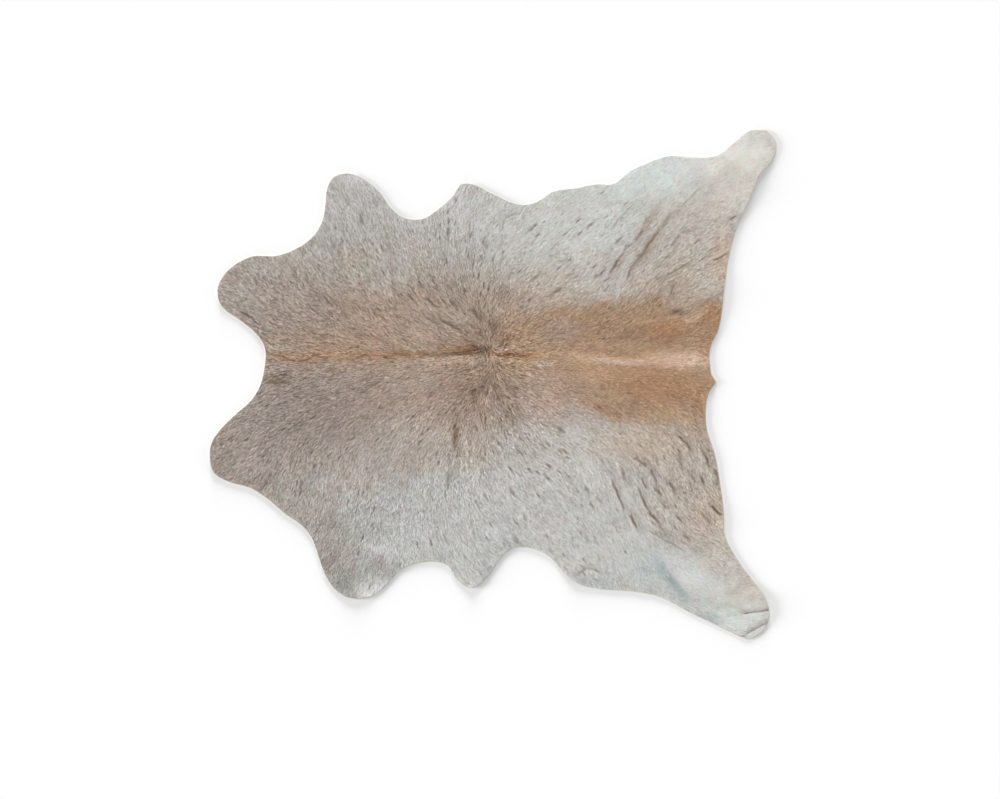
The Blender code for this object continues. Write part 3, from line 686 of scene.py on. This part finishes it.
def calf_colours(places):
    """The hide's colours at each place: grey beige, with its pale, tan and brown patches."""
    wander = soft_noise(places, BROAD_WAVES, SEED + 3) + soft_noise(places, CLOSE_WAVES, SEED + 4)
    wander = RIM_WANDER * wander[:, 0]
    colour = np.tile(PALETTE["grey_beige"][:3], (len(places), 1))
    for row in PATCHES:
        gap = (places - on_hide(row.along, row.out)) / MM
        c, s = math.cos(math.radians(row.turn)), math.sin(math.radians(row.turn))
        ahead = (gap[:, 0] * c + gap[:, 1] * s) / row.reach_along
        aside = (gap[:, 1] * c - gap[:, 0] * s) / row.reach_out
        core, rim = 1 - row.edge, 1 + PATCH_FADE * row.edge
        fade = (np.hypot(ahead, aside) + wander - core) / (rim - core)
        share = row.strength * (1 - smooth_step(fade))
        colour += share[:, None] * (np.array(PALETTE[row.colour][:3]) - colour)
    colour *= 1 + CLOUDING * soft_noise(places, CLOUD_WAVES, SEED + 5)
    colour *= 1 + HUE_SPREAD * soft_noise(places, HUE_WAVES, SEED + 6, 3)
    return colour.clip(0, 1)


def spindle(gap, heading, length, width):
    """From 0 to 1, how deep each place lies in a spindle that points along its heading."""
    ahead = (gap * heading).sum(1) / length
    across = (gap[:, 1] * heading[:, 0] - gap[:, 0] * heading[:, 1]) / width
    return np.exp(-(ahead**2) - across**2)


def parted_tufts(places, headings, survey, rng):
    """From 0 to 1, how far single tufts are parted: those in the table and the strewn ones."""
    parted = np.zeros(len(places))
    for row in PARTINGS:
        centre = on_hide(row.along, row.out)
        near = np.flatnonzero((np.abs(places - centre) < row.length * MM).all(1))
        depth = spindle(places[near] - centre, headings[near], 0.5 * row.length * MM, 0.5 * row.width * MM)
        parted[near] = np.maximum(parted[near], row.depth * depth)
    chosen, centres = nearest_centres(places, headings, STREWN_SPACING, STREWN_STRETCH, survey, rng)
    there = rng.uniform(0, 1, len(centres)) < strewn_share(centres)
    size = rng.uniform(*STREWN_SIZES, len(centres))
    gap = (places - centres[chosen]) / size[chosen, None]
    depth = (size * there)[chosen] * spindle(gap, headings, STREWN_LENGTH, STREWN_WIDTH)
    return np.maximum(parted, STREWN_DEPTH * depth)


def strewn_share(places):
    share = np.zeros(len(places))
    for row in STREWN:
        gap = (places - on_hide(row.along, row.out)) / (np.array([row.reach_along, row.reach_out]) * MM)
        share = np.maximum(share, row.share * smooth_step(STREWN_RIM - (gap**2).sum(1)))
    return share


def turned(vectors, angle):
    """Plane vectors turned by an angle each, in radians."""
    c, s = np.cos(angle), np.sin(angle)
    x, y = vectors.T
    return np.column_stack([x * c - y * s, x * s + y * c])


def scatter_roots(survey, rng):
    """Evenly scattered places on the hide where the locks are rooted."""
    step = math.sqrt(survey.area / LOCK_COUNT)
    count = np.ceil((survey.high - survey.low) / step).astype(int)
    cells = np.stack(np.meshgrid(*(np.arange(n) for n in count), indexing="ij"), 2).reshape(-1, 2)
    places = survey.low + (cells + rng.uniform(0, 1, cells.shape)) * step
    places = places[survey.inward.at(places) > ROOT_MARGIN]
    return rng.permutation(places)[:LOCK_COUNT]


def nearest_centres(places, headings, spacing, stretch, survey, rng):
    """Scattered centres, and the one nearest to each place, measured longer along the hair."""
    count = np.ceil((survey.high - survey.low) / spacing).astype(int) + 5
    low = survey.low - 2 * spacing
    grid = np.stack(np.meshgrid(*(np.arange(n) for n in count), indexing="ij"), 2)
    centres = low + (grid + rng.uniform(0.0, 1.0, grid.shape)) * spacing
    home = np.floor((places - low) / spacing).astype(int)
    best = np.full(len(places), np.inf)
    chosen = np.zeros(len(places), int)
    for i in range(-2, 3):
        for j in range(-2, 3):
            cell = np.clip(home + (i, j), 0, count - 1)
            gap = places - centres[cell[:, 0], cell[:, 1]]
            ahead = (gap * headings).sum(1) / stretch
            across = gap[:, 1] * headings[:, 0] - gap[:, 0] * headings[:, 1]
            score = ahead**2 + across**2
            closer = score < best
            best[closer] = score[closer]
            chosen[closer] = (cell[:, 0] * count[1] + cell[:, 1])[closer]
    return chosen, centres.reshape(-1, 2)


Coat = namedtuple("Coat", "corners leftwards along colour tone parted")


def comb_coat(survey):
    """Every lock of the coat: its corners, its colour, how light it is, with painted shade and highlights
    in that, and how far it is parted and painted with shade.
    """
    rng = np.random.default_rng(SEED)
    roots = scatter_roots(survey, rng)
    count = len(roots)
    lie = survey.comb.at(roots)
    tuft, centres = nearest_centres(roots, lie, TUFT_WIDTH, TUFT_STRETCH, survey, rng)
    spread = rng.normal(0, 1, (len(centres), 5)).clip(-SPREAD_LIMIT, SPREAD_LIMIT)
    ruffle = survey.ruffle.at(roots)

    swirl = WHORL_TURN * np.exp(-((roots - on_hide(*WHORL)) ** 2).sum(1) / (WHORL_SWIRL * MM) ** 2)
    turn = spread[tuft, 0] * (TUFT_TURN * ruffle + swirl) + rng.normal(0, LOCK_TURN, count)
    heading = turned(lie, np.radians(turn))
    sideways = np.column_stack([-heading[:, 1], heading[:, 0]])
    across = ((roots - centres[tuft]) * sideways).sum(1).clip(-TUFT_WIDTH, TUFT_WIDTH)
    aside = across / (0.5 * TUFT_WIDTH)

    length = HAIR_LENGTH * (1 + TUFT_LENGTH * spread[tuft, 1]) * rng.uniform(*LENGTH_SPREAD, count)
    curl = (TUFT_CURL * spread[tuft, 2] + rng.normal(0, LOCK_CURL, count)) * length
    closing = across * TUFT_CLOSING * ruffle.clip(*CLOSING_RANGE)
    tip = roots + heading * length[:, None] + sideways * (curl - closing)[:, None]
    seen = roots + (tip - roots) * SEEN
    parted, crest_highlight = creased(seen)
    parted = np.maximum(parted, parted_tufts(seen, survey.comb.at(seen), survey, rng))

    outwards = survey.outwards.at(roots)
    shows_edge = smooth_step(0.5 + outwards @ np.array(EDGE_SIDE))
    margin = (CUT_EDGE - EDGE_GAP) * shows_edge + EDGE_GAP * (1 - shows_edge)
    margin = margin + rng.normal(0, EDGE_RAGGED, count)
    kept = trim(roots, tip, margin, survey)
    tip = roots + (tip - roots) * kept[:, None]
    roots = roots - outwards * (margin - survey.inward.at(roots)).clip(0, None)[:, None]
    middle = (roots + tip) / 2

    crown = TUFT_CROWN * (1 - aside**2).clip(-1, 1) + TUFT_DEPTH * spread[tuft, 3]
    lift = (FULLNESS + crown * ruffle).clip(*FULLNESS_RANGE)
    low_rim = RIM_DEPTH - SHOWN_RIM_DEPTH * shows_edge
    full = smooth_step(survey.inward.at(roots) / RIM_RISE)
    lift = lift * (1 - PARTED_DEPTH * parted) * (low_rim + (1 - low_rim) * full)
    room = survey.room.at(middle) * lift
    z_root = survey.skin.at(roots) - ROOT_SINK + ROOT_DEPTH * room * full
    z_tip = survey.skin.at(tip) + room * rng.uniform(*TIP_SPREAD, count)

    roll = np.radians((ROLL * aside).clip(-ROLL_LIMIT, ROLL_LIMIT) * ruffle.clip(0, 1.2))
    roll = roll + np.radians(rng.normal(0, LOCK_ROLL, count) * ruffle.clip(0, 1))
    leftwards = rng.random(count) < 0.5
    width = HAIR_WIDTH * rng.uniform(*WIDTH_SPREAD, count) * (NARROWEST + (1 - NARROWEST) * kept)
    width = width * np.where(leftwards, 1, -1)
    flank = middle + (width * np.cos(roll))[:, None] * sideways
    z_flank = (z_root + z_tip) / 2 - width * np.sin(roll)

    corners = np.stack([
        np.column_stack([roots, z_root]),
        np.column_stack([flank, z_flank]),
        np.column_stack([tip, z_tip]),
    ], 1)
    lowest = survey.under.at(middle) + UNDERSIDE_GAP
    corners[:, 1:, 2] = np.maximum(corners[:, 1:, 2], lowest[:, None])

    tone = TUFT_TONE * spread[tuft, 4] + rng.normal(0, LOCK_TONE, count)
    # Painted shade darkens the locks at a tuft's sides, in the gaps between tufts, where the under hair
    # also shows.
    tone = tone - GAP_SHADE_TONE * ((aside**2).clip(0, GAP_LIMIT) - GAP_MEAN)
    # A painted highlight lightens the locks on a crease's crest.
    tone = (tone + STREAK_TONE * survey.streak.at(seen)) * ruffle + CREST_HIGHLIGHT * crest_highlight
    return Coat(corners, leftwards, seen[:, 0], calf_colours(seen), tone, parted.clip(0, 1))


def trim(roots, tip, margin, survey):
    """The share of each lock that is left when the coat is cut along the hide's edge."""
    start = np.maximum(survey.inward.at(roots), margin + TRIM_ROOM)
    kept = np.ones(len(roots))
    for end in ((roots + tip) / 2, tip):
        reach = survey.inward.at(end)
        over = reach < margin
        span = np.maximum(start - reach, 1e-6)
        kept[over] = np.minimum(kept[over], ((start - margin) / span)[over])
    return kept.clip(SHORTEST, 1)


# A lock's root, flank and tip: its face seen from above, and its places in the two UV maps
FLANK_LEFT = [0, 2, 1]
STRAND = np.array([[0.0, 0.5], [0.5, 1.0], [1.0, 0.5]])
HALF_CELL = np.array([
    [[0.08, 0.08], [0.08, 0.84], [0.84, 0.08]],
    [[0.92, 0.92], [0.92, 0.16], [0.16, 0.92]],
])
STRAND_SHIFT = 40  # how far apart the locks' places in the grain may lie


def lock_mesh(name, coat, share, rng):
    """One piece of the coat: a share of its locks joined in a single mesh."""
    count = len(share)
    leftwards = coat.leftwards[share, None, None]

    def facing_up(corners):
        return np.where(leftwards, corners[:, FLANK_LEFT], corners).reshape(-1).astype(np.float32)

    mesh = bpy.data.meshes.new(name)
    mesh.vertices.add(count * 3)
    mesh.vertices.foreach_set("co", facing_up(coat.corners[share]))
    mesh.loops.add(count * 3)
    mesh.loops.foreach_set("vertex_index", np.arange(count * 3, dtype=np.int32))
    mesh.polygons.add(count)
    mesh.polygons.foreach_set("loop_start", np.arange(0, count * 3, 3, dtype=np.int32))
    mesh.update(calc_edges=True)

    cells = math.ceil(math.sqrt(count / 2))
    cell = np.stack([np.arange(count) // 2 % cells, np.arange(count) // 2 // cells], 1)
    baked = (cell[:, None, :] + HALF_CELL[np.arange(count) % 2]) / cells
    shift = rng.uniform(0, STRAND_SHIFT, (count, 1, 1)) * np.array([0.0, 1.0])
    for label, places in (("OFBake", baked), ("strand", STRAND + shift)):
        layer = mesh.uv_layers.new(name=label)
        layer.uv.foreach_set("vector", facing_up(places))

    colour_mesh(mesh, "FACE", coat.colour[share])
    for label, values in (("tone", coat.tone), ("parted", coat.parted)):
        attribute = mesh.attributes.new(label, "FLOAT", "FACE")
        attribute.data.foreach_set("value", values[share].astype(np.float32))
    return mesh


def colour_mesh(mesh, domain, colours):
    """Stores a colour for each of a mesh's faces or points."""
    attribute = mesh.attributes.new("coat_colour", "FLOAT_COLOR", domain)
    opaque = np.column_stack([colours, np.ones(len(colours))])
    attribute.data.foreach_set("color", opaque.reshape(-1).astype(np.float32))


class Wiring:
    """Adds nodes to one tree, and sets or joins their sockets by name."""

    def __init__(self, tree):
        self.tree = tree

    def add(self, kind, inputs=None, **settings):
        node = self.tree.nodes.new(kind)
        for name, value in settings.items():
            setattr(node, name, value)
        for name, value in (inputs or {}).items():
            self.feed(node.inputs[name], value)
        return node

    def feed(self, socket, value):
        if isinstance(value, bpy.types.NodeSocket):
            self.tree.links.new(value, socket)
        else:
            socket.default_value = value

    def math(self, operation, first, second=0.0, clamp=False):
        node = self.add("ShaderNodeMath", {0: first, 1: second}, operation=operation, use_clamp=clamp)
        return node.outputs[0]

    def vector(self, operation, first, second=(0, 0, 0)):
        return self.add("ShaderNodeVectorMath", {0: first, 1: second}, operation=operation)

    def attribute(self, name, output):
        return self.add("ShaderNodeAttribute", attribute_name=name).outputs[output]

    def mix(self, share, first, second, blend="MIX"):
        node = self.add("ShaderNodeMix", data_type="RGBA", blend_type=blend)
        for socket, value in ((0, share), (6, first), (7, second)):
            self.feed(node.inputs[socket], value)
        return node.outputs[2]


def new_material(name, levels):
    """A material whose shader's levels are set by name, its wiring, and the shader's sockets."""
    material = bpy.data.materials.new(name)
    material.use_nodes = True
    sockets = material.node_tree.nodes["Principled BSDF"].inputs
    for label, value in levels.items():
        sockets[label].default_value = value
    return material, Wiring(material.node_tree), sockets


# The hair's looks: how it lightens from root to tip, and what its lightness does to its colour
ROOT_LIGHT = -0.3
TIP_LIGHT = -0.02
GRAIN = 0.5
GRAIN_STRETCH = (2.6, 7.0, 1.0)
DEEP_SHARE = 0.6  # how much of the under hair's colour the darkest hair takes
PALE_SHARE = 0.18  # and how much of the pale hair's the lightest takes
ROOT_SHARE = 0.15  # and how much of the under hair's the skin below takes
TO_DEEP = -1.3  # how fast the colour goes to the one as the lightness falls
TO_PALE = 1.6  # and to the other as it rises
BRIGHTEST = (0.95, 0.95, 0.95)

# The suede: the height of its nap, and the sizes and strengths of its clouds and fibres
FLESH_NAP = 0.4 * MM
EDGE_NAP = 0.2 * MM
CLOUD_SCALE = 22.0
CLOUD_TINT = 0.22
FIBRE_SCALE = 900.0
FIBRE_TINT = 0.1
DARKEST_TINT = 0.84


def hair_material():
    """Calf hair: pale at the tips, browner down in the coat and where a tuft is dark or parted, with
    painted shade and highlights carried in its lightness and parting.
    """
    material, wires, sockets = new_material("calf_hair", {"Specular IOR Level": 0.3, "Sheen Weight": 0.1})
    base = wires.attribute("coat_colour", "Color")
    # The lightness includes painted shade in the gaps between tufts and a painted highlight on crease
    # crests.
    tone = wires.attribute("tone", "Fac")
    parted = wires.attribute("parted", "Fac")
    strand = wires.add("ShaderNodeUVMap", uv_map="strand").outputs["UV"]
    down = wires.add("ShaderNodeSeparateXYZ", {0: strand}).outputs["X"]
    fine = wires.add("ShaderNodeTexNoise", {
        "Vector": wires.vector("MULTIPLY", strand, GRAIN_STRETCH).outputs[0], "Scale": 1.0, "Detail": 2.0,
    }).outputs["Fac"]
    rise = wires.add("ShaderNodeMapRange", {
        "Value": down, "From Min": 0.15, "From Max": 0.85, "To Min": ROOT_LIGHT, "To Max": TIP_LIGHT,
    }).outputs[0]
    grain = wires.math("MULTIPLY", wires.math("SUBTRACT", fine, 0.5), GRAIN)
    light = wires.math("ADD", wires.math("ADD", rise, tone), grain)
    deep = wires.mix(DEEP_SHARE, base, UNDER_HAIR, "MULTIPLY")
    bright = wires.vector("MULTIPLY", base, TIP_GAIN).outputs[0]
    capped = wires.vector("MINIMUM", bright, BRIGHTEST).outputs[0]
    pale = wires.mix(PALE_SHARE, capped, PALE_HAIR)
    shown = wires.mix(wires.math("MULTIPLY", light, TO_DEEP, clamp=True), base, deep)
    shown = wires.mix(wires.math("MULTIPLY", light, TO_PALE, clamp=True), shown, pale)
    # Parted hair shows the under hair's colour; over and beside creases this also paints shade.
    shown = wires.mix(parted, shown, UNDER_HAIR)
    wires.feed(sockets["Base Color"], shown)
    rough = wires.add("ShaderNodeMapRange", {"Value": fine, "To Min": 0.48, "To Max": 0.66})
    wires.feed(sockets["Roughness"], rough.outputs[0])
    return material


def suede_group():
    """A short suede nap: fine fibres and soft clouds, as a tint and a height."""
    tree = bpy.data.node_groups.new("suede_nap", "ShaderNodeTree")
    for label, way, kind in (
        ("Place", "INPUT", "Vector"), ("Colour", "INPUT", "Color"),
        ("Colour", "OUTPUT", "Color"), ("Height", "OUTPUT", "Float"),
    ):
        tree.interface.new_socket(label, in_out=way, socket_type="NodeSocket" + kind)
    wires = Wiring(tree)
    given, result = wires.add("NodeGroupInput").outputs, wires.add("NodeGroupOutput").inputs
    cloud = wires.add("ShaderNodeTexNoise", {"Vector": given["Place"], "Scale": CLOUD_SCALE, "Detail": 4.0})
    fibre = wires.add("ShaderNodeTexNoise", {"Vector": given["Place"], "Scale": FIBRE_SCALE, "Detail": 3.0})
    tint = wires.math("ADD", wires.math("MULTIPLY", cloud.outputs["Fac"], CLOUD_TINT), DARKEST_TINT)
    tint = wires.math("ADD", tint, wires.math("MULTIPLY", fibre.outputs["Fac"], FIBRE_TINT))
    grey = wires.add("ShaderNodeCombineColor", {0: tint, 1: tint, 2: tint}).outputs[0]
    wires.feed(result["Colour"], wires.mix(1.0, given["Colour"], grey, "MULTIPLY"))
    wires.feed(result["Height"], fibre.outputs["Fac"])
    return tree


def napped(wires, nap, colour):
    """The suede's nap on a skin of a given colour."""
    place = wires.add("ShaderNodeTexCoord").outputs["Object"]
    return wires.add("ShaderNodeGroup", {"Place": place, "Colour": colour}, node_tree=nap).outputs


def suede_material(name, colour, nap, depth):
    """Bare tanned skin in one colour, as on the flesh side and the cut edge."""
    levels = {"Roughness": 0.85, "Specular IOR Level": 0.2, "Sheen Weight": 0.15}
    material, wires, sockets = new_material(name, levels)
    finish = napped(wires, nap, colour)
    bump = wires.add("ShaderNodeBump", {"Height": finish["Height"], "Distance": depth, "Strength": 0.6})
    wires.feed(sockets["Base Color"], finish["Colour"])
    wires.feed(sockets["Normal"], bump.outputs[0])
    return material


def covered_skin_material(nap):
    """Skin under the coat, in the colour of the hair's roots."""
    levels = {"Roughness": 0.8, "Specular IOR Level": 0.2}
    material, wires, sockets = new_material("skin_under_hair", levels)
    dark = wires.mix(ROOT_SHARE, wires.attribute("coat_colour", "Color"), UNDER_HAIR)
    wires.feed(sockets["Base Color"], napped(wires, nap, dark)["Colour"])
    return material


def build_skin(node, survey, materials):
    """The tanned skin: a thin closed sheet on the solid's outline and levels."""
    mesh = hair_side(node)
    for face in mesh.faces:
        face.material_index = 2
    rim = bmesh.ops.inset_region(
        mesh, faces=mesh.faces[:], thickness=CUT_EDGE, use_boundary=True, use_even_offset=True
    )
    for face in rim["faces"]:
        face.material_index = 1
    raised = bmesh.ops.extrude_face_region(mesh, geom=mesh.faces[:], use_keep_orig=True)
    upper = {v for v in raised["geom"] if isinstance(v, bmesh.types.BMVert)}
    upper_faces = {f for f in raised["geom"] if isinstance(f, bmesh.types.BMFace)}
    places = np.array([tuple(v.co.xy) for v in mesh.verts])
    levels = np.stack([survey.under.at(places), survey.skin.at(places)], 1)
    for vert, (low, high) in zip(mesh.verts, levels):
        vert.co.z = max(high, low + 0.5 * SKIN) if vert in upper else low
    for face in mesh.faces:
        if face in upper_faces:
            continue
        lower = not any(v in upper for v in face.verts)
        face.material_index = 0 if lower else 1
    bmesh.ops.recalc_face_normals(mesh, faces=mesh.faces[:])
    data = bpy.data.meshes.new("hide_skin")
    mesh.to_mesh(data)
    mesh.free()
    colour_mesh(data, "POINT", calf_colours(places))
    for material in materials:
        data.materials.append(material)
    data.shade_smooth()
    data.set_sharp_from_angle(angle=math.radians(SHARP_TURN))
    return place_piece("hide_skin", data)


def new_object(name, data):
    thing = bpy.data.objects.new(name, data)
    bpy.context.scene.collection.objects.link(thing)
    return thing


def place_piece(name, data):
    piece = new_object(name, data)
    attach(piece, "root")
    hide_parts("hide")
    return piece


def build_coat(survey, material):
    """The coat, in five pieces from the neck to the rump."""
    rng = np.random.default_rng(SEED + 1)
    coat = comb_coat(survey)
    order = np.argsort(coat.along, kind="stable")
    pieces = []
    for name, share in zip(PIECES, np.array_split(order, len(PIECES))):
        mesh = lock_mesh(name, coat, share, rng)
        mesh.materials.append(material)
        pieces.append(place_piece(name, mesh))
    return pieces


# The photograph's frame: its width on the floor, and the point of the rug at its centre
FRAME_WIDTH = 1.765
FRAME_CENTRE = (0.0114, -0.0263)
CAMERA_HEIGHT = 3.2
SENSOR = 36.0
FLOOR_REACH = 30.0
FLOOR_DROP = 0.2 * MM
FLOOR_GREY = (0.92, 0.92, 0.92, 1)
SKY_STRENGTH = 0.37

# Wide soft lights: the way each shines, its share of the floor's light, its height and its width
WINDOWS = table("name across up share height degrees", [
    ("left_window", 1, 0, 0.26, 13, 22), ("top_window", 0, -1, 0.26, 13, 22),
    ("right_window", -1, 0, 0.1, 22, 40), ("bottom_window", 0, 1, 0.1, 22, 40),
])


def add_camera():
    data = bpy.data.cameras.new("camera")
    data.sensor_width = SENSOR
    data.lens = SENSOR * CAMERA_HEIGHT / FRAME_WIDTH
    camera = new_object("camera", data)
    camera.location = (*FRAME_CENTRE, CAMERA_HEIGHT)
    bpy.context.scene.camera = camera


def add_floor():
    mesh = bmesh.new()
    bmesh.ops.create_grid(mesh, x_segments=1, y_segments=1, size=FLOOR_REACH)
    bmesh.ops.translate(mesh, verts=mesh.verts[:], vec=(0, 0, -FLOOR_DROP))
    data = bpy.data.meshes.new("studio_floor")
    mesh.to_mesh(data)
    mesh.free()
    levels = {"Base Color": FLOOR_GREY, "Roughness": 0.9, "Specular IOR Level": 0.0}
    data.materials.append(new_material("studio_floor", levels)[0])
    new_object("studio_floor", data)


def add_light():
    """A pale sky all round, and low wide light that is strongest from the frame's left and top."""
    world = bpy.data.worlds.new("studio")
    world.use_nodes = True
    sky = world.node_tree.nodes["Background"].inputs
    sky["Color"].default_value = (1, 1, 1, 1)
    sky["Strength"].default_value = SKY_STRENGTH
    bpy.context.scene.world = world
    for row in WINDOWS:
        lamp = bpy.data.lights.new(row.name, "SUN")
        height = math.radians(row.height)
        lamp.energy = row.share * math.pi / math.sin(height)
        lamp.angle = math.radians(row.degrees)
        direction = Vector((row.across, row.up, -math.tan(height)))
        new_object(row.name, lamp).rotation_euler = direction.to_track_quat("-Z", "Y").to_euler()
    bpy.context.scene.view_settings.view_transform = "Standard"


def main():
    add_camera()
    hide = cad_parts["hide"]
    survey = Survey(hide)
    nap = suede_group()
    skin = build_skin(hide, survey, [
        suede_material("flesh_side", FLESH_COLOUR, nap, FLESH_NAP),
        suede_material("cut_edge", CUT_EDGE_COLOUR, nap, EDGE_NAP),
        covered_skin_material(nap),
    ])
    coat = build_coat(survey, hair_material())
    add_floor()
    add_light()


main()
